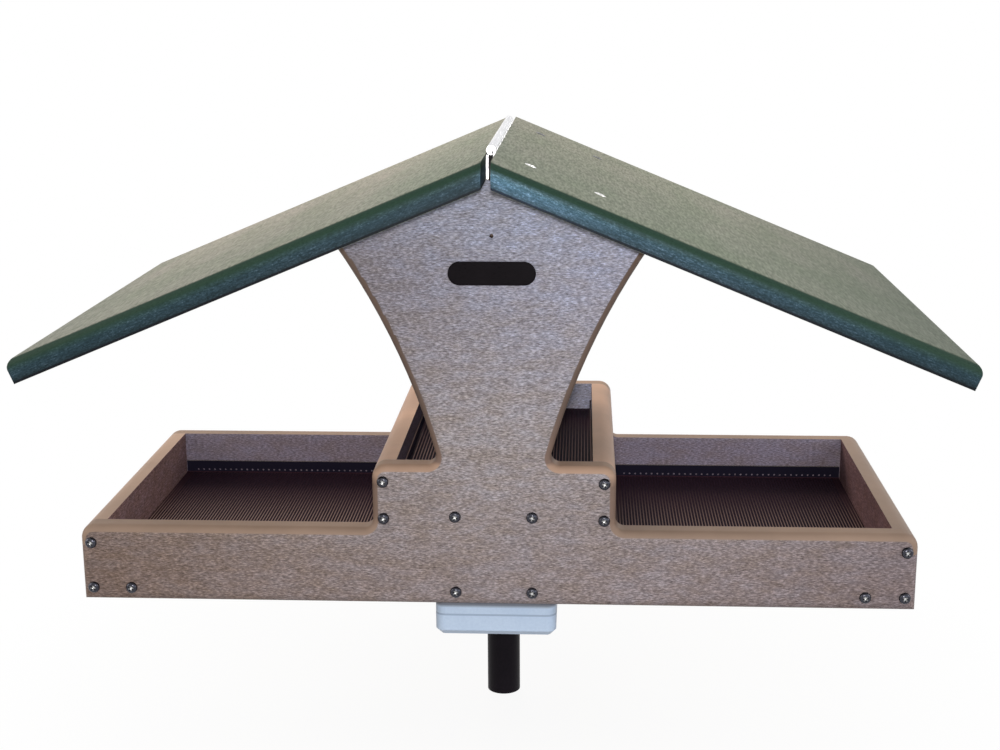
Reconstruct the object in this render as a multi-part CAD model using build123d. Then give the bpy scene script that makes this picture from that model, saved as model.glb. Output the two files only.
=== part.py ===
from build123d import *
import math
import os

os.makedirs("parts", exist_ok=True)

# sheet stock
board = 15.9
floor_board = 19.0
sheet = 0.9

# base and trays, heights counted from the underside of the base
base_width = 581.0
base_depth = 254.0
low_height = 55.0
raised_width = 168.0
raised_height = 101.0
inner_wall_height = 49.0
floor_lift = 2.0
slat_width = 38.0
lower_board_width = 200.0
upper_board_width = 90.0
upper_board_thickness = 28.0
upper_board_top = 79.0

# neck and gable of the front and back panels
waist_width = 75.0
gable_width = 212.0
neck_bow = 7.4
peak_height = 298.6
apex_cut = 2.0
corner_round = 9.5
inner_round = 6.4
edge_round = 6.3
pilot_height = 260.0
pilot_diameter = 3.0
pilot_depth = 8.0

# roof
roof_pitch = 22.5
roof_length = 327.0
roof_overhang = 60.3
ridge_gap = 6.3

# ridge hinge
leaf_width = 19.0
leaf_thickness = 1.5
barrel_rise = 1.7
knuckle_count = 17
knuckle_gap = 0.4
knuckle_clearance = 0.35
pin_diameter = 2.4
pin_clearance = 0.12
barrel_sides = 10
bore_sides = 8
leaf_screw_count = 5
leaf_screw_end = 24.0

# screens
wing_lip = 10.0
centre_lip = 7.3
screen_gap = 0.6
bend_round = 1.6

# pole and pole block
pole_diameter = 25.4
pole_wall = 1.6
pole_below = 120.0
seat_diameter = 24.0
seat_reveal = 2.2
seat_clearance = 0.1
block_width = 86.0
block_gap = 1.0
block_chamfer = 4.0
block_corner = 7.0
block_screw_x = 30.0
block_screw_y = 85.0

# screws
head_diameter = 8.4
head_height = 2.7
head_taper = 18.0
head_sides = 10
shank_sides = 6
shank_diameter = 4.2
screw_length = 36.0
block_screw_length = 45.0
small_head_diameter = 5.8
small_shank_diameter = 2.8
small_screw_length = 13.0
screw_clearance = 0.1
low_screw = 10.0
wall_top_margin = 12.0
inner_wall_margin = 11.3
centre_screw_spacing = 53.2
roof_head_diameter = 8.4
roof_head_depth = 2.6
roof_screw_first = 24.3
roof_screw_second = 73.6

# name plate
plate_length = 58.7
plate_height = 16.0
plate_thickness = 1.0
plate_centre = 235.0

# values that follow
half_width = base_width / 2
half_depth = base_depth / 2
inner_depth = base_depth - 2 * board
screen_depth = inner_depth - 2 * screen_gap
raised_half = raised_width / 2
waist_half = waist_width / 2
gable_half = gable_width / 2
half_gap = ridge_gap / 2
slope = math.radians(roof_pitch)
gable_height = peak_height - gable_half * math.tan(slope)
apex_height = peak_height - apex_cut
apex_half = apex_cut / math.tan(slope)
ridge_under = peak_height - half_gap * math.tan(slope)
ridge_top = ridge_under + board / math.cos(slope)
roof_depth = base_depth + 2 * roof_overhang
hinge_height = ridge_top + barrel_rise
hinge_length = base_depth
floor_top = floor_lift + floor_board
block_top = floor_lift
block_bottom = block_top - 2 * board
wall_centre_x = half_width - board / 2
inner_wall_x = raised_half - board / 2
slat_x = half_width - board - slat_width / 2
gable_centre_y = half_depth - board / 2
upward = Vector(math.sin(slope), 0, math.cos(slope))


def box(x_size, y_size, x, z_low, z_high):
    return Pos(x, 0, (z_low + z_high) / 2) * Box(x_size, y_size, z_high - z_low)


def both_sides(solid):
    return [solid, mirror(solid, about=Plane.YZ)]


def corners(shape, points):
    return [shape.vertices().sort_by_distance(Vector(side * x, y))[0] for x, y in points for side in (1, -1)]


# front and back panels
def panel_outline():
    waist = Vector(waist_half, raised_height)
    gable = Vector(gable_half, gable_height)
    chord = gable - waist
    bow = Vector(-chord.Y, chord.X).normalized() * neck_bow
    with BuildSketch() as outline:
        with BuildLine():
            Polyline(
                (0, 0),
                (half_width, 0),
                (half_width, low_height),
                (raised_half, low_height),
                (raised_half, raised_height),
                waist,
            )
            ThreePointArc(waist, (waist + gable) / 2 + bow, gable)
            Polyline(gable, (apex_half, apex_height), (0, apex_height))
            mirror(about=Plane.YZ)
        make_face()
        fillet(corners(outline, [(half_width, low_height), (raised_half, raised_height)]), corner_round)
        fillet(corners(outline, [(raised_half, low_height), (waist_half, raised_height)]), inner_round)
    return outline.sketch


def panel():
    flat = extrude(panel_outline(), board)
    rim = flat.faces().sort_by(Axis.Z)[-1].edges()
    rounded = fillet(rim.filter_by(lambda edge: edge.center().Y < gable_height), edge_round)
    return Pos(0, board - half_depth, 0) * Rot(90, 0, 0) * rounded


# screws and their holes, each standing at a point with its head facing outward
def standing(shape, point, outward):
    return Plane(origin=point, z_dir=outward) * shape


# shanks and their holes are out of sight, so both have few sides
def shank(diameter, length):
    return extrude(RegularPolygon(diameter / 2, shank_sides), -length)


def pan_head_screw(length):
    head = extrude(RegularPolygon(head_diameter / 2, head_sides), head_height, taper=head_taper)
    return head + shank(shank_diameter, length)


def screw_hole(length):
    return shank(shank_diameter + 2 * screw_clearance, length + screw_clearance)


# a cone that narrows from a flush top to the shank
def countersink(top, bottom, depth, sides):
    inset = (top - bottom) / 2 * math.cos(math.pi / sides)
    taper = math.degrees(math.atan2(inset, depth))
    return Rot(180, 0, 0) * extrude(RegularPolygon(top / 2, sides), depth, taper=taper)


def flush_roof_screw(extra=0.0):
    top = roof_head_diameter + 2 * extra
    neck = shank_diameter + 2 * extra
    return countersink(top, neck, roof_head_depth, head_sides) + shank(neck, screw_length + extra)


def flush_leaf_screw(extra=0.0):
    top = small_head_diameter + 2 * extra
    neck = small_shank_diameter + 2 * extra
    return countersink(top, neck, leaf_thickness, shank_sides) + shank(neck, small_screw_length + extra)


def panel_screw_points():
    right = [
        (wall_centre_x, low_screw),
        (wall_centre_x, low_height - wall_top_margin),
        (slat_x, low_screw),
        (inner_wall_x, raised_height - inner_wall_height + inner_wall_margin),
        (inner_wall_x, raised_height - inner_wall_margin),
        (centre_screw_spacing / 2, low_screw),
        (centre_screw_spacing / 2, upper_board_top - upper_board_thickness / 2),
    ]
    return [Vector(side * x, -half_depth, z) for x, z in right for side in (1, -1)]


def roof_screw_points():
    points = []
    for along in (roof_screw_first, roof_screw_second):
        x = half_gap + along * math.cos(slope)
        z = ridge_top - along * math.sin(slope)
        points += [Vector(x, side * gable_centre_y, z) for side in (-1, 1)]
    return points


def block_screw_points():
    sides = [(x, y) for x in (-1, 1) for y in (-1, 1)]
    return [Vector(x * block_screw_x, y * block_screw_y, block_bottom) for x, y in sides]


def leaf_screw_points():
    step = (hinge_length - 2 * leaf_screw_end) / (leaf_screw_count - 1)
    first = leaf_screw_end - hinge_length / 2
    height = (ridge_under + ridge_top) / 2
    return [Vector(half_gap - leaf_thickness, first + step * i, height) for i in range(leaf_screw_count)]


def set_of(shape, points, outward):
    return [standing(shape, point, outward) for point in points]


# boards between the panels
def end_wall():
    wall = box(board, inner_depth, wall_centre_x, 0, low_height)
    outer_top = wall.edges().filter_by(Axis.Y).sort_by(Axis.X)[-2:].sort_by(Axis.Z)[-1]
    return fillet(outer_top, corner_round)


def inner_wall():
    wall = box(board, inner_depth, inner_wall_x, raised_height - inner_wall_height, raised_height)
    outer_top = wall.edges().filter_by(Axis.Y).sort_by(Axis.X)[-2:].sort_by(Axis.Z)[-1]
    return fillet(outer_top, corner_round)


def floor_slat():
    return box(slat_width, inner_depth, slat_x, floor_lift, floor_top)


def lower_board():
    return box(lower_board_width, inner_depth, 0, floor_lift, floor_top)


def upper_board():
    return box(upper_board_width, inner_depth, 0, upper_board_top - upper_board_thickness, upper_board_top)


# roof
def roof_panel():
    down = Vector(math.cos(slope), -math.sin(slope))
    normal = Vector(math.sin(slope), math.cos(slope))
    ridge_low = Vector(half_gap, ridge_under)
    eave_low = ridge_low + down * roof_length
    eave_top = eave_low + normal * board
    profile = make_face(Polyline(ridge_low, eave_low, eave_top, (half_gap, ridge_top), close=True))
    slab = extrude(Plane.XZ * profile, roof_depth / 2, both=True)
    top = slab.faces().filter_by(lambda face: face.normal_at() == upward)[0]
    all_but_ridge = top.edges().sort_by(Axis.X)[1:]
    return fillet(all_but_ridge, edge_round)


# ridge hinge, drawn on the right with its own knuckles
def hinge_leaf(own):
    notch = math.sqrt((half_gap + knuckle_clearance) ** 2 - (half_gap - leaf_thickness) ** 2)
    x = half_gap - leaf_thickness / 2
    leaf = box(leaf_thickness, hinge_length, x, hinge_height - leaf_width, hinge_height - notch)
    pitch = hinge_length / knuckle_count
    for i in own:
        y = (i + 0.5) * pitch - hinge_length / 2
        length = pitch - knuckle_gap
        riser = Box(leaf_thickness, length, notch)
        barrel_face = RegularPolygon(half_gap, barrel_sides, major_radius=False, rotation=180 / barrel_sides)
        barrel = extrude(Plane.XZ * barrel_face, length / 2, both=True)
        leaf += Pos(x, y, hinge_height - notch / 2) * riser
        leaf += Pos(0, y, hinge_height) * barrel
    bore_face = RegularPolygon(pin_diameter / 2 + pin_clearance, bore_sides, major_radius=False)
    bore = extrude(Plane.XZ * bore_face, hinge_length / 2, both=True)
    return leaf - Pos(0, 0, hinge_height) * bore


def hinge_pin():
    return Pos(0, 0, hinge_height) * Rot(90, 0, 0) * Cylinder(pin_diameter / 2, hinge_length)


# screens: a sheet whose two ends along Y turn up into lips
def pan(width, depth, rest, lip):
    tray = box(width, depth, 0, rest, rest + sheet + lip)
    bends = tray.edges().filter_by(Axis.X).group_by(Axis.Z)[0]
    tray = fillet(bends, bend_round)
    hollow = box(width + lip, depth - 2 * sheet, 0, rest + sheet, rest + 2 * lip)
    inner_bends = hollow.edges().filter_by(Axis.X).group_by(Axis.Z)[0]
    return tray - fillet(inner_bends, bend_round - sheet)


# the wing screens have their lips at the front and the back
def wing_screen():
    inner_end = raised_half + screen_gap
    outer_end = half_width - board - screen_gap
    middle = (inner_end + outer_end) / 2
    return Pos(middle, 0, 0) * pan(outer_end - inner_end, screen_depth, floor_top, wing_lip)


# the centre screen has them at its sides, along the inner walls
def centre_screen():
    width = raised_width - 2 * board - 2 * screen_gap
    return Rot(0, 0, 90) * pan(screen_depth, width, upper_board_top, centre_lip)


# pole and pole block
def block_plate(bottom):
    plate = box(block_width, inner_depth - 2 * block_gap, 0, bottom, bottom + board)
    return fillet(plate.edges().filter_by(Axis.Z), block_corner)


def pole_hole():
    hole = extrude(Circle(seat_diameter / 2 + seat_clearance), 2 * board)
    return Pos(0, 0, block_bottom) * hole


def lower_block_plate():
    plate = block_plate(block_bottom)
    return chamfer(plate.edges().group_by(Axis.Z)[0], block_chamfer)


# the upper end is drawn down to a seat that starts just under the block
def pole():
    shoulder = pole_below + block_bottom - seat_reveal
    tube = extrude(Circle(pole_diameter / 2), shoulder)
    seat = extrude(Circle(seat_diameter / 2), pole_below + block_top)
    bore = extrude(Circle(seat_diameter / 2 - pole_wall), pole_below + block_top)
    return Pos(0, 0, -pole_below) * (tube + seat - bore)


# name plate, bare
def name_plate():
    flat = Plane.XZ * SlotOverall(plate_length, plate_height)
    return Pos(0, -half_depth, plate_centre) * extrude(flat, plate_thickness)


def save(node, *solids):
    placed = [Pos(0, 0, pole_below) * solid for solid in solids]
    shape = placed[0] if len(placed) == 1 else Compound(children=placed)
    export_step(shape, f"parts/{node}.step")


front = Vector(0, -1, 0)
front_holes = set_of(screw_hole(screw_length), panel_screw_points(), front)
back_holes = [mirror(hole, about=Plane.XZ) for hole in front_holes]
panel_holes = front_holes + back_holes
roof_holes = set_of(flush_roof_screw(screw_clearance), roof_screw_points(), upward)
block_holes = set_of(screw_hole(block_screw_length), block_screw_points(), Vector(0, 0, -1))
leaf_holes = set_of(flush_leaf_screw(screw_clearance), leaf_screw_points(), Vector(-1, 0, 0))
pilot = shank(pilot_diameter, pilot_depth)
pilot_hole = standing(pilot, Vector(0, -half_depth, pilot_height), front)

front_panel = panel()
save("front_panel", front_panel - front_holes - roof_holes - pilot_hole)
save("back_panel", mirror(front_panel, about=Plane.XZ) - back_holes - roof_holes)

for node, solid in (("end_wall", end_wall()), ("inner_wall", inner_wall()), ("floor_slat", floor_slat())):
    right, left = both_sides(solid - panel_holes)
    save(f"right_{node}", right)
    save(f"left_{node}", left)
save("lower_board", lower_board() - panel_holes - block_holes)
save("upper_board", upper_board() - panel_holes)

right_roof = roof_panel() - leaf_holes
save("right_roof_panel", right_roof - roof_holes)
save("left_roof_panel", mirror(right_roof, about=Plane.YZ))

save("fixed_hinge_leaf", hinge_leaf(range(0, knuckle_count, 2)) - leaf_holes)
save("lid_hinge_leaf", mirror(hinge_leaf(range(1, knuckle_count, 2)) - leaf_holes, about=Plane.YZ))
save("hinge_pin", hinge_pin())

right_screen, left_screen = both_sides(wing_screen())
save("right_screen", right_screen)
save("left_screen", left_screen)
save("centre_screen", centre_screen())

save("pole_block_upper", block_plate(block_bottom + board) - pole_hole() - block_holes)
save("pole_block_lower", lower_block_plate() - pole_hole() - block_holes)
save("pole", pole())
save("name_plate", name_plate())

front_screws = set_of(pan_head_screw(screw_length), panel_screw_points(), front)
leaf_screws = set_of(flush_leaf_screw(), leaf_screw_points(), Vector(-1, 0, 0))
save("front_panel_screws", *front_screws)
save("back_panel_screws", *[mirror(screw, about=Plane.XZ) for screw in front_screws])
save("roof_screws", *set_of(flush_roof_screw(), roof_screw_points(), upward))
save("pole_block_screws", *set_of(pan_head_screw(block_screw_length), block_screw_points(), Vector(0, 0, -1)))
save("fixed_leaf_screws", *leaf_screws)
save("lid_leaf_screws", *[mirror(screw, about=Plane.YZ) for screw in leaf_screws])
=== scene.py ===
import math

import bmesh
import bpy
from mathutils import Matrix, Vector


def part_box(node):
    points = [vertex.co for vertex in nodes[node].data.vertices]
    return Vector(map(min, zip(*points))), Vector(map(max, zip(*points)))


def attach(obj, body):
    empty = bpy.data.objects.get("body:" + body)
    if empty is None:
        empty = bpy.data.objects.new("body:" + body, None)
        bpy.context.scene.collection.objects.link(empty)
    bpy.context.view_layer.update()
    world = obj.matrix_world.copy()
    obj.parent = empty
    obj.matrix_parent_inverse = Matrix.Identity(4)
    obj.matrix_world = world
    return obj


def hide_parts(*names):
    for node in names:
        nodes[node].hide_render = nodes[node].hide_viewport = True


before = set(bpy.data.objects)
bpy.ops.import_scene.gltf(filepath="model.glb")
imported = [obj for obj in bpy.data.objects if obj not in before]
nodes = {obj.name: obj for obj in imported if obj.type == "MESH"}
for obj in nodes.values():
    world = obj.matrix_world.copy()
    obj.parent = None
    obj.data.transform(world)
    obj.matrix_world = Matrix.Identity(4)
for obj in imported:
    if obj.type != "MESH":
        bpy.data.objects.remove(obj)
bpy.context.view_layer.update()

# sizes in metres
mm = 0.001
board = 15.9 * mm
edge_round = 6.3 * mm
half_depth = 127 * mm
base_height = 120 * mm
half_width = 290.5 * mm
raised_half = 84 * mm
low_height = 55 * mm
raised_height = 101 * mm
roof_pitch = math.radians(22.5)
half_gap = 3.15 * mm
ridge_top = base_height + 314.505 * mm
hinge_height = ridge_top + 1.7 * mm
block_top = base_height + 2 * mm
block_bottom = block_top - 2 * board
eased_edge = 1.2 * mm
sharp_angle = math.radians(40)

# ridge hinge
hinge_length = 254 * mm
knuckle_count = 17
knuckle_gap = 0.4 * mm
leaf_width = 19 * mm
leaf_thickness = 1.5 * mm
leaf_notch = 3.1 * mm
curl_bore = 1.4 * mm
curl_turn = math.radians(288)
curl_steps = 24
leaf_screw_count = 5
leaf_screw_end = 24 * mm

# perforated pans
sheet = 0.9 * mm
bend_round = 1.6 * mm
hole_pitch = 3.35 * mm
column_pitch = 2.31 * mm
hole_radius = 0.85 * mm
hole_sides = 6
side_margin = 6 * mm
end_margin = 4.2 * mm
wing_plain = ((0.0, 7.0 * mm), (8.0 * mm, 12.4 * mm))
centre_plain = ((0.0, 9.9 * mm),)
wing_lip_top = base_height + 31.9 * mm
centre_lip_top = base_height + 87.2 * mm

# screws
screw_sides = 24
screw_spin = math.radians(137.5)
screw_length = 36 * mm
block_screw_length = 45 * mm
leaf_screw_length = 13 * mm
panel_shank = 1.85 * mm
leaf_shank = 1.2 * mm
roof_head = 4.15 * mm
roof_head_depth = 2.6 * mm
leaf_head = 2.8 * mm
# radius of the painted glint in the screw recesses
glint_radius = 1.5 * mm
low_screw = 10 * mm
wall_top_margin = 12 * mm
inner_wall_height = 49 * mm
inner_wall_margin = 11.3 * mm
slat_screw_x = 255.6 * mm
centre_screw_x = 26.6 * mm
upper_screw_height = 65 * mm
roof_screw_steps = (24.3 * mm, 73.6 * mm)
block_screw_x = 30 * mm
block_screw_y = 85 * mm

# reach of the masks that tell a face from an edge
hair = 0.1 * mm
face_skin = 0.5 * mm
roof_skin = 0.6 * mm
low_rounding = 14 * mm
level_normal = 0.97
# reach of the painted highlight on the lip edges and of the painted light lines on the pans
lip_edge = 0.3 * mm
strip_inner = 0.26 * mm
strip_outer = 0.44 * mm
seam_half = 0.7 * mm

# heights and spans over which the painted light and shade change
rim_light_heights = (170 * mm, 270 * mm)
face_light_heights = (140 * mm, 400 * mm)
gable_light_heights = (240 * mm, 340 * mm)
gable_half = 100 * mm
inner_light_heights = (170 * mm, 250 * mm)
block_shade_heights = (base_height - 8.6 * mm, base_height - 6.4 * mm)
roof_half_span = 360 * mm
roof_half_depth = 187 * mm

# camera of the photograph
image_width = 1000
focal_pixels = 1566.0
camera_spot = Vector((60.3, -1148.7, 534.7)) * mm
camera_yaw = math.radians(-3.093)
camera_pitch = math.radians(-13.671)
camera_roll = math.radians(-0.336)


# node helpers
def add(tree, kind, inputs=None, **settings):
    item = tree.nodes.new(kind)
    for key, value in settings.items():
        setattr(item, key, value)
    for key, value in (inputs or {}).items():
        if isinstance(value, bpy.types.NodeSocket):
            tree.links.new(value, item.inputs[key])
        else:
            item.inputs[key].default_value = value
    return item


def put(tree, value, socket):
    tree.links.new(value, socket)


def axes(tree, vector):
    return add(tree, "ShaderNodeSeparateXYZ", {0: vector}).outputs


def math_node(tree, operation, first, second=0.0):
    return add(tree, "ShaderNodeMath", {0: first, 1: second}, operation=operation).outputs[0]


def near(tree, value, level, reach):
    return add(tree, "ShaderNodeMath", {0: value, 1: level, 2: reach}, operation="COMPARE").outputs[0]


def mix_colour(tree, share, first, second, blend="MIX"):
    item = add(tree, "ShaderNodeMix", {0: share, 6: first, 7: second}, data_type="RGBA", blend_type=blend)
    return item.outputs[2]


def tinted(tree, first, second):
    return mix_colour(tree, 1.0, first, second, "MULTIPLY")


def grey(level):
    return (level, level, level)


def ramp(tree, share, stops):
    item = add(tree, "ShaderNodeValToRGB", {0: share})
    elements = item.color_ramp.elements
    while len(elements) < len(stops):
        elements.new(0.5)
    for element, (place, colour) in zip(elements, stops):
        element.position = place
        element.color = (*colour, 1)
    return item.outputs[0]


def remap(tree, value, low, high, to_low=0.0, to_high=1.0):
    item = add(tree, "ShaderNodeMapRange", {0: value, 1: low, 2: high, 3: to_low, 4: to_high})
    return item.outputs[0]


def noise(tree, coords, stretch, detail=3.0, rough=0.55):
    scaled = add(tree, "ShaderNodeMapping", {"Vector": coords, "Scale": stretch})
    settings = {"Vector": scaled.outputs[0], "Scale": 1.0, "Detail": detail, "Roughness": rough}
    return add(tree, "ShaderNodeTexNoise", settings).outputs[0]


def weighted(tree, *pairs):
    total = 0.0
    for value, weight in pairs:
        total = math_node(tree, "ADD", math_node(tree, "MULTIPLY", value, weight), total)
    return total


def add_relief(tree, shader, strength, distance, height):
    bump = add(tree, "ShaderNodeBump", {"Strength": strength, "Distance": distance, "Height": height})
    put(tree, bump.outputs[0], shader.inputs["Normal"])


def new_material(name):
    material = bpy.data.materials.new(name)
    material.use_nodes = True
    tree = material.node_tree
    tree.nodes.clear()
    output = add(tree, "ShaderNodeOutputMaterial")
    shader = add(tree, "ShaderNodeBsdfPrincipled")
    put(tree, shader.outputs[0], output.inputs[0])
    return material, tree, shader


# brown boards: a flecked face and a smooth machined edge
def board_material(name, face_mask, fleck_stretch, patch_stretch, face_tone, edge_tone):
    material, tree, shader = new_material(name)
    coords = add(tree, "ShaderNodeTexCoord")
    place = coords.outputs["Object"]
    fleck = noise(tree, place, fleck_stretch, 3.0, 0.7)
    patch = noise(tree, place, patch_stretch, 3.0, 0.6)
    hue = ramp(tree, patch, [
        (0.34, (0.275, 0.238, 0.222)),
        (0.50, (0.290, 0.258, 0.256)),
        (0.66, (0.302, 0.280, 0.292)),
    ])
    shade = ramp(tree, fleck, [
        (0.30, (0.40, 0.39, 0.39)),
        (0.45, (0.84, 0.83, 0.83)),
        (0.55, (1.13, 1.13, 1.14)),
        (0.70, (1.88, 1.90, 1.94)),
    ])
    face = tinted(tree, tinted(tree, hue, shade), face_tone(tree, coords))
    clouds = noise(tree, place, (14.0, 14.0, 22.0), 4.0, 0.6)
    edge = ramp(tree, clouds, [
        (0.30, tuple(0.86 * part for part in edge_tone)),
        (0.70, tuple(1.12 * part for part in edge_tone)),
    ])
    # painted light and shade on the machined edges by height: lighter on the tops of the raised walls,
    # darker just below them and on the neck and gable above
    painted_rim_light = ramp(tree, remap(tree, axes(tree, place)["Z"], *rim_light_heights), [
        (0.05, (0.90, 0.90, 0.92)),
        (0.16, (0.64, 0.62, 0.66)),
        (0.37, (0.64, 0.62, 0.66)),
        (0.45, (1.30, 1.22, 1.20)),
        (0.515, (1.30, 1.22, 1.20)),
        (0.54, (0.66, 0.64, 0.70)),
        (0.90, (0.46, 0.46, 0.50)),
    ])
    edge = tinted(tree, edge, painted_rim_light)
    mask = face_mask(tree, coords)
    put(tree, mix_colour(tree, mask, edge, face), shader.inputs["Base Color"])
    roughness = weighted(tree, (mask, 0.12), (fleck, 0.14), (clouds, 0.08), (1.0, 0.34))
    put(tree, roughness, shader.inputs["Roughness"])
    relief = weighted(tree, (math_node(tree, "MULTIPLY", fleck, mask), 1.0), (clouds, 0.3))
    add_relief(tree, shader, 0.35, 0.3 * mm, relief)
    shader.inputs["Specular IOR Level"].default_value = 0.12
    return material


# masks that are 1 on the flecked faces and 0 on the machined edges
def inner_face(tree, coords):
    depth = math_node(tree, "ABSOLUTE", axes(tree, coords.outputs["Object"])["Y"])
    return math_node(tree, "LESS_THAN", depth, half_depth - board + hair)


def panel_faces(tree, coords):
    place = axes(tree, coords.outputs["Object"])
    depth = math_node(tree, "ABSOLUTE", place["Y"])
    outer = remap(tree, depth, half_depth - face_skin, half_depth - face_skin / 2)
    rounding = math_node(tree, "GREATER_THAN", depth, half_depth - edge_round - hair)
    low = math_node(tree, "LESS_THAN", place["Z"], base_height + low_height - low_rounding)
    outer = math_node(tree, "MAXIMUM", outer, math_node(tree, "MULTIPLY", rounding, low))
    return math_node(tree, "MAXIMUM", outer, inner_face(tree, coords))


def faces_along(axis):
    def mask(tree, coords):
        slant = math_node(tree, "ABSOLUTE", axes(tree, coords.outputs["Normal"])[axis])
        return math_node(tree, "GREATER_THAN", slant, level_normal)
    return mask


# painted light and shade: browner and darker at the base and its ends, lighter and cooler up on the gable
# and towards its right side, and on the inner faces darker low down, lighter and bluer at the height of the
# centre tray
def painted_panel_light(tree, coords):
    place = axes(tree, coords.outputs["Object"])
    across, height = place["X"], place["Z"]
    upward = ramp(tree, remap(tree, height, *face_light_heights), [
        (0.0, (0.97, 0.93, 0.95)),
        (0.4, (1.11, 1.13, 1.17)),
        (0.8, (1.04, 1.15, 1.39)),
        (1.0, (1.15, 1.36, 1.74)),
    ])
    sideways = ramp(tree, remap(tree, across, -half_width, half_width), [
        (0.0, (0.72, 0.62, 0.53)),
        (0.25, (0.88, 0.83, 0.78)),
        (0.5, grey(1.0)),
        (0.75, (0.94, 0.92, 0.92)),
        (1.0, (0.78, 0.73, 0.73)),
    ])
    on_gable = remap(tree, height, *gable_light_heights, 0.0, 0.5)
    lean = math_node(tree, "MULTIPLY", remap(tree, across, -gable_half, gable_half, -1.0, 1.0), on_gable)
    gable = ramp(tree, math_node(tree, "ADD", lean, 0.5), [
        (0.0, (0.80, 0.77, 0.75)),
        (0.5, grey(1.0)),
        (1.0, (1.24, 1.28, 1.33)),
    ])
    outer = tinted(tree, tinted(tree, upward, sideways), gable)
    inner = ramp(tree, remap(tree, height, *inner_light_heights), [
        (0.0, (0.83, 0.78, 0.97)),
        (0.45, (1.40, 1.55, 1.95)),
        (0.65, (1.40, 1.55, 1.95)),
        (0.90, (0.96, 0.96, 1.0)),
    ])
    return mix_colour(tree, inner_face(tree, coords), outer, inner)


# boards between the panels: painted shade darkens them inside the centre tray; greyer on the outer ends
def wall_tone(tree, coords):
    share = noise(tree, coords.outputs["Object"], (6.0, 6.0, 6.0), 1.0, 0.5)
    inside = ramp(tree, share, [(0.3, (0.84, 0.58, 0.58)), (0.7, (0.94, 0.66, 0.66))])
    place = axes(tree, coords.outputs["Object"])
    away = math_node(tree, "ABSOLUTE", place["X"])
    outside = math_node(tree, "GREATER_THAN", away, half_width - face_skin)
    tone = mix_colour(tree, outside, inside, (0.92, 0.86, 0.84, 1))
    within = math_node(tree, "LESS_THAN", away, raised_half - board + 2 * hair)
    above = math_node(tree, "GREATER_THAN", place["Z"], base_height + low_height)
    centre_shade = math_node(tree, "MULTIPLY", within, above)
    return mix_colour(tree, centre_shade, tone, (0.34, 0.29, 0.40, 1))


# painted shade: the right end wall is darker on its inner side
def shaded_wall_tone(tree, coords):
    place = axes(tree, coords.outputs["Object"])
    inside = math_node(tree, "LESS_THAN", place["X"], half_width - face_skin)
    return mix_colour(tree, inside, wall_tone(tree, coords), (0.66, 0.62, 0.66, 1), "MULTIPLY")


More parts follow.
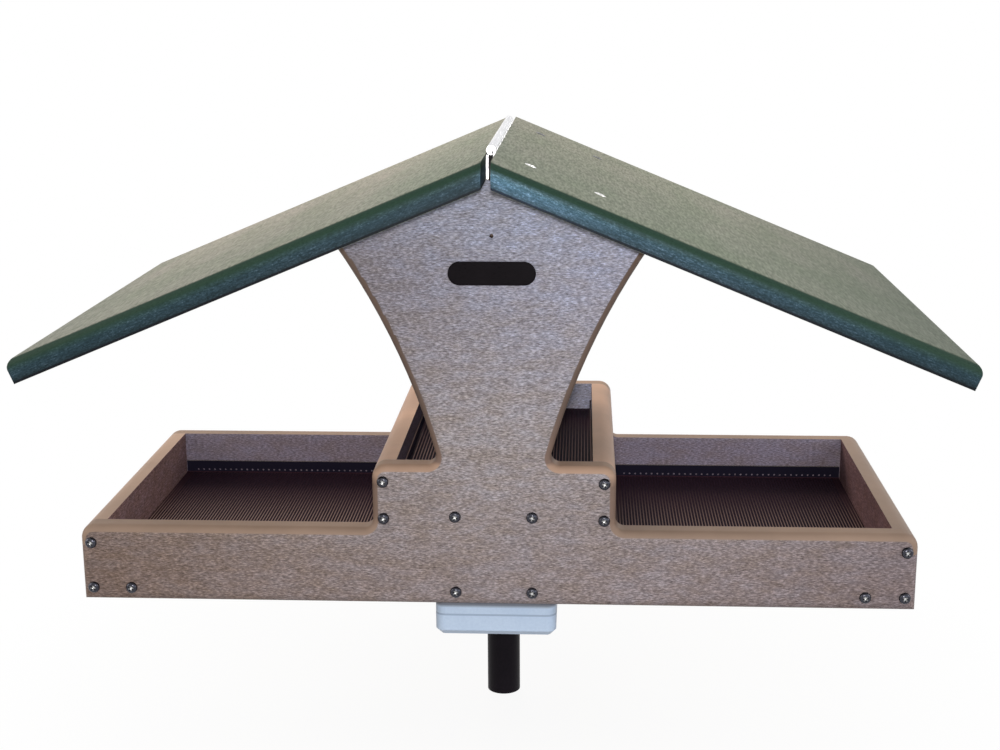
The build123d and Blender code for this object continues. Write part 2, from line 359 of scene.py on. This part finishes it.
# green roof boards, measured along the slope and square to it
def roof_material():
    material, tree, shader = new_material("green_board")
    coords = add(tree, "ShaderNodeTexCoord")
    place = axes(tree, coords.outputs["Object"])
    out = math_node(tree, "ABSOLUTE", place["X"])
    up = place["Z"]
    sine, cosine = math.sin(roof_pitch), math.cos(roof_pitch)
    height = weighted(tree, (out, sine), (up, cosine))
    along = weighted(tree, (out, cosine), (up, -sine))
    flat = add(tree, "ShaderNodeCombineXYZ", {0: along, 1: place["Y"], 2: height}).outputs[0]
    top = half_gap * sine + ridge_top * cosine
    over = remap(tree, height, top - roof_skin, top - hair)
    under = math_node(tree, "LESS_THAN", height, top - board + hair)
    mask = math_node(tree, "MAXIMUM", over, under)
    fleck = noise(tree, flat, (520.0, 85.0, 300.0), 3.0, 0.65)
    patch = noise(tree, flat, (22.0, 9.0, 30.0), 3.0, 0.6)
    hue = ramp(tree, patch, [
        (0.34, (0.208, 0.233, 0.172)),
        (0.66, (0.258, 0.266, 0.214)),
    ])
    shade = ramp(tree, fleck, [
        (0.30, (0.52, 0.56, 0.50)),
        (0.50, grey(1.0)),
        (0.70, (1.50, 1.48, 1.50)),
    ])
    across = remap(tree, place["X"], -roof_half_span, roof_half_span)
    # painted light on the roof tops: lighter on the left slope and near the ridge, darker towards the right
    # eave
    painted_roof_light = ramp(tree, across, [
        (0.08, (1.05, 1.02, 1.12)),
        (0.15, (1.22, 1.17, 1.26)),
        (0.29, (1.20, 1.15, 1.23)),
        (0.36, (1.32, 1.25, 1.35)),
        (0.44, (1.16, 1.18, 1.22)),
        (0.52, (1.08, 1.09, 1.10)),
        (0.71, (1.02, 1.04, 1.04)),
        (0.92, (0.54, 0.58, 0.58)),
    ])
    # painted shade towards the front of the roof, painted light towards its back
    inward = ramp(tree, remap(tree, place["Y"], -roof_half_depth, roof_half_depth), [
        (0.2, (0.91, 0.94, 0.93)),
        (0.5, grey(1.0)),
        (0.8, (1.16, 1.11, 1.14)),
    ])
    face = tinted(tree, tinted(tree, tinted(tree, hue, shade), painted_roof_light), inward)
    # saw marks on the cut edges; their pale blue specks are painted highlights
    saw = noise(tree, flat, (520.0, 900.0, 1300.0), 3.0, 0.75)
    streak = noise(tree, flat, (30.0, 900.0, 1100.0), 3.0, 0.6)
    cut = ramp(tree, weighted(tree, (saw, 0.75), (streak, 0.25)), [
        (0.36, (0.010, 0.028, 0.034)),
        (0.50, (0.024, 0.055, 0.070)),
        (0.60, (0.050, 0.098, 0.126)),
        (0.70, (0.150, 0.230, 0.290)),
    ])
    # painted light along the cut edges: brightest just right of the ridge, darker towards both eaves
    painted_cut_light = ramp(tree, across, [
        (0.0, (0.80, 0.80, 0.80)),
        (0.49, (0.90, 0.90, 0.92)),
        (0.51, (3.6, 3.5, 3.9)),
        (0.62, (1.48, 1.48, 1.58)),
        (0.80, (1.0, 1.0, 1.04)),
        (1.0, (0.48, 0.54, 0.54)),
    ])
    # painted shade: a dark line along the lower corner of the cut edges, lighter towards their top
    painted_cut_shade = ramp(tree, remap(tree, height, top - board, top), [
        (0.085, (0.06, 0.06, 0.09)),
        (0.13, (0.60, 0.56, 0.56)),
        (0.35, (0.86, 0.86, 0.90)),
        (0.65, (1.10, 1.10, 1.06)),
    ])
    cut = tinted(tree, tinted(tree, cut, painted_cut_light), painted_cut_shade)
    routed = remap(tree, height, top - 8.0 * mm, top - 3.5 * mm)
    rounded = ramp(tree, saw, [(0.3, (0.012, 0.033, 0.022)), (0.7, (0.024, 0.056, 0.037))])
    edge = mix_colour(tree, routed, cut, rounded)
    put(tree, mix_colour(tree, mask, edge, face), shader.inputs["Base Color"])
    put(tree, weighted(tree, (mask, 0.10), (fleck, 0.12), (1.0, 0.44)), shader.inputs["Roughness"])
    relief = weighted(tree, (math_node(tree, "MULTIPLY", fleck, mask), 1.0), (saw, 0.5))
    add_relief(tree, shader, 0.3, 0.25 * mm, relief)
    shader.inputs["Specular IOR Level"].default_value = 0.15
    return material


# dark coated sheet with painted light and shade: a painted highlight on the top edges of the lips, painted
# light lines between the columns of holes towards the front, and the coat painted darker towards the front
def sheet_material():
    material, tree, shader = new_material("screen_dark")
    coords = add(tree, "ShaderNodeTexCoord")
    place = axes(tree, coords.outputs["Object"])
    facing = axes(tree, coords.outputs["Normal"])
    fine = noise(tree, coords.outputs["Object"], even_grain, 3.0, 0.6)
    coat = ramp(tree, fine, [(0.3, (0.020, 0.009, 0.014)), (0.7, (0.040, 0.020, 0.030))])
    inward = remap(tree, place["Y"], -half_depth, half_depth)
    # painted shade: the coat darker towards the front, lighter towards the back
    painted_coat_shade = ramp(tree, inward, [(0.45, grey(0.45)), (0.83, (1.45, 1.35, 1.35))])
    coat = tinted(tree, coat, painted_coat_shade)
    upright = math_node(tree, "LESS_THAN", math_node(tree, "ABSOLUTE", facing["Z"]), 0.2)
    coat = mix_colour(tree, upright, coat, (0.014, 0.012, 0.024, 1))
    # painted highlight along the top edges of the lips
    wing_edges = near(tree, place["Z"], wing_lip_top, lip_edge)
    centre_edges = near(tree, place["Z"], centre_lip_top, lip_edge)
    lip_edges = math_node(tree, "MAXIMUM", wing_edges, centre_edges)
    lip_highlighted_coat = mix_colour(tree, lip_edges, coat, (0.20, 0.17, 0.16, 1))
    # painted light: light lines between the columns of holes on the level sheet, brightest at the front,
    # dimmer in the centre and right trays
    beside = math_node(tree, "PINGPONG", place["X"], column_pitch / 2)
    strip = remap(tree, beside, strip_inner, strip_outer, 1.0, 0.0)
    level = math_node(tree, "GREATER_THAN", facing["Z"], 0.9)
    painted_light_lines = ramp(tree, inward, [
        (0.42, (0.300, 0.210, 0.190)),
        (0.53, (0.205, 0.140, 0.130)),
        (0.67, (0.092, 0.060, 0.060)),
        (0.83, (0.032, 0.018, 0.027)),
    ])
    painted_tray_light = ramp(tree, remap(tree, place["X"], -half_width, half_width), [
        (0.3, grey(1.0)),
        (0.5, (0.76, 0.66, 0.76)),
        (0.7, grey(0.70)),
    ])
    painted_light_lines = tinted(tree, painted_light_lines, painted_tray_light)
    colour = mix_colour(tree, math_node(tree, "MULTIPLY", strip, level), lip_highlighted_coat, painted_light_lines)
    put(tree, colour, shader.inputs["Base Color"])
    put(tree, weighted(tree, (fine, 0.2), (1.0, 0.38)), shader.inputs["Roughness"])
    add_relief(tree, shader, 0.4, 0.04 * mm, fine)
    shader.inputs["Specular IOR Level"].default_value = 0.02
    return material


# coated and plain surfaces that share one recipe: two colours, a fine grain and a varied gloss
def plain_material(name, dark, light, grain, gloss, bump_height, metal=0.0, shine=0.5):
    material, tree, shader = new_material(name)
    place = add(tree, "ShaderNodeTexCoord").outputs["Object"]
    fine = noise(tree, place, grain, 3.0, 0.6)
    clouds = noise(tree, place, (35.0, 35.0, 35.0), 3.0, 0.6)
    colour = ramp(tree, weighted(tree, (fine, 0.5), (clouds, 0.5)), [(0.3, dark), (0.7, light)])
    put(tree, colour, shader.inputs["Base Color"])
    roughness = weighted(tree, (fine, 0.14), (clouds, 0.10), (1.0, gloss - 0.12))
    put(tree, roughness, shader.inputs["Roughness"])
    add_relief(tree, shader, 0.4, bump_height, fine)
    shader.inputs["Metallic"].default_value = metal
    shader.inputs["Specular IOR Level"].default_value = shine
    return material


# the colour that a plain material has so far, and its shader, for a second colour over it
def colour_so_far(material):
    shader = material.node_tree.nodes["Principled BSDF"]
    return shader.inputs["Base Color"].links[0].from_socket, shader


# pale block: a shade darker in the seam between its plates; painted shade darkens it towards the base above
# it
def block_material():
    material = plain_material(
        "block_pale", (0.50, 0.64, 0.85), (0.61, 0.75, 0.95), (500.0, 500.0, 500.0), 0.45, 0.04 * mm,
        shine=0.2)
    tree = material.node_tree
    pale, shader = colour_so_far(material)
    height = axes(tree, add(tree, "ShaderNodeTexCoord").outputs["Object"])["Z"]
    seam = near(tree, height, block_top - board, seam_half)
    lined = mix_colour(tree, seam, pale, (0.38, 0.49, 0.66, 1))
    painted_base_shade = remap(tree, height, *block_shade_heights, 0.0, 0.8)
    put(tree, mix_colour(tree, painted_base_shade, lined, (0.10, 0.09, 0.10, 1)), shader.inputs["Base Color"])
    return material


# black coated screws with a painted glint: bright steel in the middle of each recess, and over the whole
# head of the front roof screws
def screw_material():
    material = plain_material(
        "screw_black", (0.032, 0.032, 0.040), (0.062, 0.063, 0.077), even_grain, 0.26, 0.002 * mm,
        metal=1.0)
    tree = material.node_tree
    black, shader = colour_so_far(material)
    painted_glint = add(tree, "ShaderNodeAttribute", attribute_name="painted_glint").outputs["Fac"]
    put(tree, mix_colour(tree, painted_glint, black, (0.86, 0.85, 0.83, 1)), shader.inputs["Base Color"])
    return material


even_grain = (900.0, 900.0, 900.0)
# the machined edge tone in three copies: tan on the panels, a lighter copy with painted light for the lit
# tops of the walls and boards, a darker copy with painted shade for the right end wall
tan = (0.350, 0.250, 0.188)
painted_lit_tan = (0.520, 0.368, 0.278)
shaded_tan = (0.345, 0.252, 0.194)
wall_fleck = (300.0, 240.0, 1250.0)
wall_patch = (60.0, 55.0, 130.0)
panel_brown = board_material(
    "panel_brown", panel_faces, (370.0, 360.0, 1350.0), (55.0, 60.0, 130.0), painted_panel_light, tan)
wall_brown = board_material(
    "wall_brown", faces_along("X"), wall_fleck, wall_patch, wall_tone, painted_lit_tan)
shaded_brown = board_material(
    "shaded_brown", faces_along("X"), wall_fleck, wall_patch, shaded_wall_tone, shaded_tan)
floor_brown = board_material(
    "floor_brown", faces_along("Z"), wall_fleck[::-1], wall_patch[::-1], wall_tone, painted_lit_tan)
roof_green = roof_material()
screen_dark = sheet_material()
hinge_bright = plain_material(
    "hinge_bright", (0.66, 0.66, 0.68), (0.84, 0.84, 0.86), (2500.0, 60.0, 2500.0), 0.34, 0.02 * mm,
    metal=1.0)
pin_steel = plain_material(
    "pin_steel", (0.45, 0.45, 0.46), (0.62, 0.62, 0.63), even_grain, 0.30, 0.01 * mm, metal=1.0)
block_pale = block_material()
pole_black = plain_material(
    "pole_black", (0.005, 0.004, 0.006), (0.012, 0.009, 0.013), even_grain, 0.40, 0.04 * mm, shine=0.06)
plate_black = plain_material(
    "plate_black", (0.003, 0.002, 0.003), (0.007, 0.005, 0.007), (300.0, 1500.0, 1500.0), 0.30, 0.01 * mm,
    shine=0.06)
screw_black = screw_material()

cad_looks = {
    "front_panel": panel_brown,
    "back_panel": panel_brown,
    "left_end_wall": wall_brown,
    "right_end_wall": shaded_brown,
    "left_inner_wall": wall_brown,
    "right_inner_wall": wall_brown,
    "left_floor_slat": floor_brown,
    "right_floor_slat": floor_brown,
    "lower_board": floor_brown,
    "upper_board": floor_brown,
    "right_roof_panel": roof_green,
    "left_roof_panel": roof_green,
    "fixed_hinge_leaf": hinge_bright,
    "lid_hinge_leaf": hinge_bright,
    "hinge_pin": pin_steel,
    "left_screen": screen_dark,
    "centre_screen": screen_dark,
    "right_screen": screen_dark,
    "pole_block_upper": block_pale,
    "pole_block_lower": block_pale,
    "pole": pole_black,
    "name_plate": plate_black,
    "front_panel_screws": screw_black,
    "back_panel_screws": screw_black,
    "roof_screws": screw_black,
    "pole_block_screws": screw_black,
    "fixed_leaf_screws": pin_steel,
    "lid_leaf_screws": pin_steel,
}
for node, look in cad_looks.items():
    mesh = nodes[node].data
    mesh.materials.clear()
    mesh.materials.append(look)


# the block's sharp edges are eased a little
def ease_edges(node, width):
    weld = nodes[node].modifiers.new("weld", "WELD")
    weld.merge_threshold = 0.001 * mm
    bevel = nodes[node].modifiers.new("ease", "BEVEL")
    bevel.width = width
    bevel.segments = 3
    bevel.limit_method = "ANGLE"
    bevel.angle_limit = math.radians(30)


for node in ("pole_block_upper", "pole_block_lower"):
    ease_edges(node, eased_edge)


# a new piece takes its look from the node that it replaces, and hides that node
def make_piece(name, vertices, faces, node, body):
    mesh = bpy.data.meshes.new(name)
    mesh.from_pydata(vertices, [], faces)
    mesh.materials.append(cad_looks[node])
    piece = bpy.data.objects.new(name, mesh)
    bpy.context.scene.collection.objects.link(piece)
    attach(piece, body)
    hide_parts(node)
    return piece


def shade_rounds(mesh):
    mesh.shade_smooth()
    mesh.set_sharp_from_angle(angle=sharp_angle)


# perforated pans: a flat sheet of holes whose two ends are bent up into lips
def folded(half, bottom, top):
    radius = bend_round - sheet / 2
    lip = top - bottom - bend_round
    arc = radius * math.pi / 2
    length = 2 * (lip + arc + half - bend_round)

    def fold(along, rise):
        side = -1 if along < length / 2 else 1
        run = min(along, length - along)
        turn = min(max(run - lip, 0.0), arc) / radius
        lean = Vector((-math.cos(turn), math.sin(turn)))
        corner = Vector((half - bend_round, bottom + bend_round)) - radius * lean
        upward = Vector((0, max(lip - run, 0.0)))
        inward = Vector((max(run - lip - arc, 0.0), 0))
        spot = corner + upward - inward + rise * lean
        return side * spot.x, spot.y

    return fold, length


# holes stand in columns along Y on one lattice, every second column half a pitch further on
def flat_pattern(start, width, length, bent, plain_bands):
    first_column = math.ceil((start + side_margin) / column_pitch)
    columns = math.floor((start + width - side_margin) / column_pitch) - first_column
    rows = int((length - 2 * end_margin) / hole_pitch)
    left = first_column * column_pitch - start
    bottom = (length - rows * hole_pitch) / 2
    right, top = left + columns * column_pitch, length - bottom
    half_pitch = hole_pitch / 2
    points, faces, known = [], [], {}

    def index(point):
        key = (round(point[0] / mm, 3), round(point[1] / mm, 3))
        if key not in known:
            known[key] = len(points)
            points.append(point)
        return known[key]

    def face(*corners):
        faces.append([index(corner) for corner in corners])

    def plain(x0, x1, y0, y1):
        face((x0, y0), (x1, y0), (x1, y1), (x0, y1))

    def near_bend(*spot):
        run = min(spot[bent], (width, length)[bent] - spot[bent])
        return any(low < run < high for low, high in plain_bands)

    def holed(x0, y0):
        x1, x2 = x0 + column_pitch / 2, x0 + column_pitch
        y1, y2 = y0 + half_pitch, y0 + hole_pitch
        border = [(x2, y1), (x2, y2), (x0, y2), (x0, y1), (x0, y0), (x2, y0)]
        turns = [2 * math.pi * k / hole_sides for k in range(hole_sides)]
        rim = [(x1 + hole_radius * math.cos(turn), y1 + hole_radius * math.sin(turn)) for turn in turns]
        for k in range(hole_sides):
            following = (k + 1) % hole_sides
            face(rim[k], border[k], border[following], rim[following])

    for column in range(columns):
        x0 = left + column * column_pitch
        x1 = x0 + column_pitch
        shift = half_pitch * (column % 2)
        for row in range(rows - column % 2):
            y0 = bottom + shift + row * hole_pitch
            if near_bend((x0 + x1) / 2, y0 + half_pitch):
                plain(x0, x1, y0, y0 + half_pitch)
                plain(x0, x1, y0 + half_pitch, y0 + hole_pitch)
            else:
                holed(x0, y0)
        if column % 2:
            plain(x0, x1, bottom, bottom + half_pitch)
            plain(x0, x1, top - half_pitch, top)
        plain(x0, x1, 0.0, bottom)
        plain(x0, x1, top, length)
    for x0, x1 in ((0.0, left), (right, width)):
        plain(x0, x1, 0.0, bottom)
        plain(x0, x1, top, length)
        for step in range(2 * rows):
            plain(x0, x1, bottom + step * half_pitch, bottom + (step + 1) * half_pitch)
    return points, faces


# bent is 0 for lips at the sides and 1 for lips at the front and the back
def perforated_pan(node, body, bent, plain_bands):
    low, high = [Vector(corner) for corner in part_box(node)]
    half = (high - low) / 2
    fold, length = folded(half[bent], low.z, high.z)
    size = [2 * half.x, 2 * half.y]
    size[bent] = length
    start = low.x if bent else low.x + half.x - length / 2
    points, upper = flat_pattern(start, *size, bent, plain_bands)

    def place(point, rise):
        offset, height = fold(point[bent], rise)
        spot = [low.x + point[0], low.y + point[1], height]
        spot[bent] = low[bent] + half[bent] + offset
        return spot

    count = len(points)
    vertices = [place(point, rise) for rise in (sheet / 2, -sheet / 2) for point in points]
    faces = upper + [[count + i for i in reversed(face)] for face in upper]
    edges = {(face[k - 1], face[k]) for face in upper for k in range(len(face))}
    for first, second in sorted(edges):
        if (second, first) not in edges:
            faces.append([second, first, count + first, count + second])
    make_piece(node + "_pan", vertices, faces, node, body)


# hinge leaves: a plate whose own knuckles are rolled round the pin
def hinge_leaf(node, body, own, side):
    points, faces, known = [], [], {}

    def index(x, y, z):
        key = (round(x / mm, 4), round(y / mm, 4), round(z / mm, 4))
        if key not in known:
            known[key] = len(points)
            points.append((side * x, y, hinge_height + z))
        return known[key]

    def strip(first, second, y0, y1):
        faces.append([index(first[0], y0, first[1]), index(second[0], y0, second[1]),
                      index(second[0], y1, second[1]), index(first[0], y1, first[1])])

    def cap(corners, y):
        faces.append([index(x, y, z) for x, z in corners])

    inner, outer = half_gap - leaf_thickness, half_gap
    foot = [(outer, -leaf_width), (inner, -leaf_width)]
    head = [(outer, -leaf_notch), (inner, -leaf_notch)]
    angles = [curl_turn * step / curl_steps for step in range(curl_steps + 1)]
    outside = [head[0]] + [(half_gap * math.cos(angle), half_gap * math.sin(angle)) for angle in angles]
    inside = [head[1]] + [(curl_bore * math.cos(angle), curl_bore * math.sin(angle)) for angle in angles]
    pitch = hinge_length / knuckle_count
    spans = []
    reached = -hinge_length / 2
    for knuckle in own:
        low = knuckle * pitch - hinge_length / 2 + knuckle_gap / 2
        high = low + pitch - knuckle_gap
        spans += [(reached, low, False), (low, high, True)]
        reached = high
    spans.append((reached, hinge_length / 2, False))
    for low, high, rolled in spans:
        strip(foot[0], head[0], low, high)
        strip(head[1], foot[1], low, high)
        strip(foot[1], foot[0], low, high)
        if not rolled:
            strip(head[0], head[1], low, high)
            continue
        for k in range(len(outside) - 1):
            strip(outside[k], outside[k + 1], low, high)
            strip(inside[k + 1], inside[k], low, high)
            for y in (low, high):
                cap([outside[k], inside[k], inside[k + 1], outside[k + 1]], y)
        strip(outside[-1], inside[-1], low, high)
    for y in (-hinge_length / 2, hinge_length / 2):
        cap(foot + head[::-1], y)
    piece = make_piece(node + "_rolled", points, faces, node, body)
    face_outward(piece.data)
    shade_rounds(piece.data)


def face_outward(mesh):
    shape = bmesh.new()
    shape.from_mesh(mesh)
    bmesh.ops.recalc_face_normals(shape, faces=shape.faces)
    shape.to_mesh(mesh)
    shape.free()


# screws with a cross recess, turned about +Z with the seat of the head at z = 0
def screw_shape(outline, recess_reach, recess_half, recess_depth):
    shape = bmesh.new()
    rings = []
    for radius, height in outline:
        turns = [2 * math.pi * k / screw_sides for k in range(screw_sides)]
        rings.append([shape.verts.new((radius * math.cos(t), radius * math.sin(t), height)) for t in turns])
    shape.faces.new(reversed(rings[0]))
    for lower, upper in zip(rings, rings[1:]):
        for k in range(screw_sides):
            shape.faces.new((lower[k - 1], lower[k], upper[k], upper[k - 1]))
    # the recess narrows downward from a cross to a bowl with a point
    top = outline[-1][1]
    cross = [cross_loop(shape, recess_reach, recess_half, top)]
    cross.append(cross_loop(shape, 0.82 * recess_reach, 0.95 * recess_half, top - 0.55 * recess_depth))
    bowl = [vertex.co.to_2d().normalized() * 0.5 * recess_reach for vertex in cross[1]]
    cross.append([shape.verts.new((spot.x, spot.y, top - 0.85 * recess_depth)) for spot in bowl])
    for outer, inner in zip(cross, cross[1:]):
        for k in range(len(outer)):
            shape.faces.new((outer[k - 1], outer[k], inner[k], inner[k - 1]))
    point = shape.verts.new((0, 0, top - recess_depth))
    for k in range(len(cross[2])):
        shape.faces.new((cross[2][k - 1], cross[2][k], point))
    rims = [loop_edges(shape, loop) for loop in (rings[-1], cross[0])]
    bmesh.ops.triangle_fill(shape, edges=rims[0] + rims[1], use_beauty=True, normal=(0, 0, 1))
    bmesh.ops.recalc_face_normals(shape, faces=shape.faces)
    shape.verts.index_update()
    vertices = [vertex.co.copy() for vertex in shape.verts]
    faces = [[vertex.index for vertex in face.verts] for face in shape.faces]
    shape.free()
    return vertices, faces


def cross_loop(shape, reach, half, height):
    loop = []
    for quarter in range(4):
        turn = Matrix.Rotation(quarter * math.pi / 2, 3, "Z")
        for corner in ((reach, -half, height), (reach, half, height), (half, half, height)):
            loop.append(shape.verts.new(turn @ Vector(corner)))
    return loop


def loop_edges(shape, loop):
    edges = []
    for k in range(len(loop)):
        pair = (loop[k - 1], loop[k])
        edges.append(shape.edges.get(pair) or shape.edges.new(pair))
    return edges


# the last argument gives 0 to 1 for a template vertex on a screw: how much of the painted glint of bright
# steel shows there
def set_screws(node, body, template, spots, outward, painted_glint):
    stand = Vector(outward).to_track_quat("Z", "Y").to_matrix()
    vertices, faces = [], []
    for number, spot in enumerate(spots):
        spin = Matrix.Rotation(number * screw_spin, 3, "Z")
        first = len(vertices)
        vertices += [Vector(spot) + stand @ (spin @ vertex) for vertex in template[0]]
        faces += [[first + i for i in face] for face in template[1]]
    piece = make_piece(node + "_cross", vertices, faces, node, body)
    shade_rounds(piece.data)
    marks = [painted_glint(vertex, spot) for spot in spots for vertex in template[0]]
    piece.data.attributes.new("painted_glint", "FLOAT", "POINT").data.foreach_set("value", marks)


# painted glint in the middle of the recess, fading out towards its rim
def glint_in_recess(vertex, spot):
    return max(0.0, 1 - vertex.to_2d().length / glint_radius) if vertex.z > 0 else 0.0


# painted highlight over the whole head of the front roof screws
def glint_on_front_heads(vertex, spot):
    return 1.0 if vertex.z > -hair and spot[1] < 0 else 0.0


def shank_outline(radius, length):
    return [(0.3 * radius, -length), (radius, -length + 3 * radius)]


# radius and height of the dome in millimetres, from the seat up to the flat top
def pan_head(length):
    dome = [
        (1.85, 0), (4.05, 0), (4.1, 0.45), (3.98, 1.05),
        (3.66, 1.65), (3.14, 2.15), (2.5, 2.5), (2.1, 2.64),
    ]
    outline = shank_outline(panel_shank, length) + [(radius * mm, height * mm) for radius, height in dome]
    return screw_shape(outline, 1.9 * mm, 0.55 * mm, 1.5 * mm)


def flush_head(length, shank, head, depth):
    rim = [(shank, -depth), (head, -0.05 * mm), (head - 0.12 * mm, 0.15 * mm), (0.62 * head, 0.5 * mm)]
    outline = shank_outline(shank, length) + rim
    return screw_shape(outline, 0.5 * head, 0.11 * head, 0.42 * depth)


def panel_screw_spots(depth):
    wall_x = half_width - board / 2
    inner_x = raised_half - board / 2
    right = [
        (wall_x, low_screw),
        (wall_x, low_height - wall_top_margin),
        (slat_screw_x, low_screw),
        (inner_x, raised_height - inner_wall_height + inner_wall_margin),
        (inner_x, raised_height - inner_wall_margin),
        (centre_screw_x, low_screw),
        (centre_screw_x, upper_screw_height),
    ]
    return [(side * x, depth, base_height + z) for x, z in right for side in (1, -1)]


def block_screw_spots():
    return [(x * block_screw_x, y * block_screw_y, block_bottom) for x in (-1, 1) for y in (-1, 1)]


def roof_screw_spots():
    spots = []
    for step in roof_screw_steps:
        x = half_gap + step * math.cos(roof_pitch)
        z = ridge_top - step * math.sin(roof_pitch)
        spots += [(x, side * (half_depth - board / 2), z) for side in (-1, 1)]
    return spots


def leaf_screw_spots(side):
    step = (hinge_length - 2 * leaf_screw_end) / (leaf_screw_count - 1)
    first = leaf_screw_end - hinge_length / 2
    height = ridge_top - board / math.cos(roof_pitch) / 2
    return [(side * (half_gap - leaf_thickness), first + step * k, height) for k in range(leaf_screw_count)]


for name in ("left", "right"):
    perforated_pan(f"{name}_screen", f"{name}_tray_screen", 1, wing_plain)
perforated_pan("centre_screen", "centre_tray_screen", 0, centre_plain)
hinge_leaf("fixed_hinge_leaf", "frame", range(0, knuckle_count, 2), 1)
hinge_leaf("lid_hinge_leaf", "lid", range(1, knuckle_count, 2), -1)

panel_screw = pan_head(screw_length)
for node, side in (("front_panel_screws", -1), ("back_panel_screws", 1)):
    set_screws(node, "frame", panel_screw, panel_screw_spots(side * half_depth), (0, side, 0), glint_in_recess)
block_screw = pan_head(block_screw_length)
set_screws("pole_block_screws", "frame", block_screw, block_screw_spots(), (0, 0, -1), glint_in_recess)
roof_screw = flush_head(screw_length, panel_shank, roof_head, roof_head_depth)
roof_outward = (math.sin(roof_pitch), 0, math.cos(roof_pitch))
set_screws("roof_screws", "frame", roof_screw, roof_screw_spots(), roof_outward, glint_on_front_heads)
leaf_screw = flush_head(leaf_screw_length, leaf_shank, leaf_head, leaf_thickness)
set_screws("fixed_leaf_screws", "frame", leaf_screw, leaf_screw_spots(1), (-1, 0, 0), glint_in_recess)
set_screws("lid_leaf_screws", "lid", leaf_screw, leaf_screw_spots(-1), (1, 0, 0), glint_in_recess)


# floor and world: white to the camera and in reflections, while the floor keeps a soft shadow
def seen_directly(tree):
    path = add(tree, "ShaderNodeLightPath")
    shown = math_node(tree, "MAXIMUM", path.outputs["Is Camera Ray"], path.outputs["Is Glossy Ray"])
    return math_node(tree, "MAXIMUM", shown, path.outputs["Is Transmission Ray"])


def make_floor():
    mesh = bpy.data.meshes.new("floor")
    reach = 40.0
    corners = [(-reach, -reach, 0), (reach, -reach, 0), (reach, reach, 0), (-reach, reach, 0)]
    mesh.from_pydata(corners, [], [(0, 1, 2, 3)])
    floor = bpy.data.objects.new("floor", mesh)
    floor.location.z = -0.3 * mm
    bpy.context.scene.collection.objects.link(floor)
    material = bpy.data.materials.new("floor")
    material.use_nodes = True
    tree = material.node_tree
    tree.nodes.clear()
    place = add(tree, "ShaderNodeTexCoord").outputs["Object"]
    away = add(tree, "ShaderNodeVectorMath", {0: place}, operation="LENGTH").outputs["Value"]
    fade = remap(tree, away, 0.05, 0.45, 0.93, 1.0)
    share = math_node(tree, "MULTIPLY", seen_directly(tree), fade)
    matte = add(tree, "ShaderNodeBsdfDiffuse", {"Color": (0.46, 0.43, 0.40, 1)})
    white = add(tree, "ShaderNodeEmission", {"Color": (1, 1, 1, 1), "Strength": 1.0})
    both = add(tree, "ShaderNodeMixShader", {0: share, 1: matte.outputs[0], 2: white.outputs[0]})
    output = add(tree, "ShaderNodeOutputMaterial")
    put(tree, both.outputs[0], output.inputs[0])
    mesh.materials.append(material)


def make_world():
    world = bpy.data.worlds.new("studio")
    bpy.context.scene.world = world
    world.use_nodes = True
    tree = world.node_tree
    tree.nodes.clear()
    dim = add(tree, "ShaderNodeBackground", {"Color": (1.0, 0.98, 0.96, 1), "Strength": 0.25})
    white = add(tree, "ShaderNodeBackground", {"Color": (1, 1, 1, 1), "Strength": 1.0})
    share = seen_directly(tree)
    both = add(tree, "ShaderNodeMixShader", {0: share, 1: dim.outputs[0], 2: white.outputs[0]})
    output = add(tree, "ShaderNodeOutputWorld")
    put(tree, both.outputs[0], output.inputs[0])


def area_light(name, spot, target, size, power, colour):
    light = bpy.data.lights.new(name, "AREA")
    light.shape = "DISK"
    light.size = size
    light.energy = power
    light.color = colour
    lamp = bpy.data.objects.new(name, light)
    lamp.location = spot
    lamp.rotation_euler = (Vector(target) - Vector(spot)).to_track_quat("-Z", "Y").to_euler()
    bpy.context.scene.collection.objects.link(lamp)
    return lamp


def make_lights():
    above_camera = camera_spot + Vector((0.0, 0.0, 0.03))
    area_light("flash", above_camera, (0, 0, 0.3), 0.05, 6.4, (1.0, 0.97, 0.94))
    area_light("window", (0.9, -1.4, 0.62), (0.05, 0, 0.36), 0.6, 3.0, (0.70, 0.84, 1.0))
    area_light("left_panel", (-1.7, -0.35, 0.85), (0, 0, 0.25), 1.0, 10.0, (1.0, 0.93, 0.85))
    area_light("right_panel", (1.7, -0.35, 0.85), (0, 0, 0.25), 1.0, 10.0, (1.0, 0.96, 0.92))
    back_lamp = area_light("back_lamp", (-0.25, 1.5, 0.95), (0, 0, 0.25), 0.8, 30.0, (1.0, 0.89, 0.77))
    back_lamp.visible_glossy = False


def make_camera():
    cosine, sine = math.cos(camera_yaw), math.sin(camera_yaw)
    level = math.cos(camera_pitch)
    forward = Vector((sine * level, cosine * level, math.sin(camera_pitch)))
    side = Vector((cosine, -sine, 0))
    upright = side.cross(forward)
    right = side * math.cos(camera_roll) + upright * math.sin(camera_roll)
    up = upright * math.cos(camera_roll) - side * math.sin(camera_roll)
    data = bpy.data.cameras.new("camera")
    data.sensor_width = 36
    data.lens = data.sensor_width * focal_pixels / image_width
    data.clip_end = 200
    camera = bpy.data.objects.new("camera", data)
    turn = Matrix((right, up, -forward)).transposed().to_4x4()
    camera.matrix_world = Matrix.Translation(camera_spot) @ turn
    bpy.context.scene.collection.objects.link(camera)
    bpy.context.scene.camera = camera


make_floor()
make_world()
make_lights()
make_camera()
bpy.context.scene.view_settings.view_transform = "Standard"
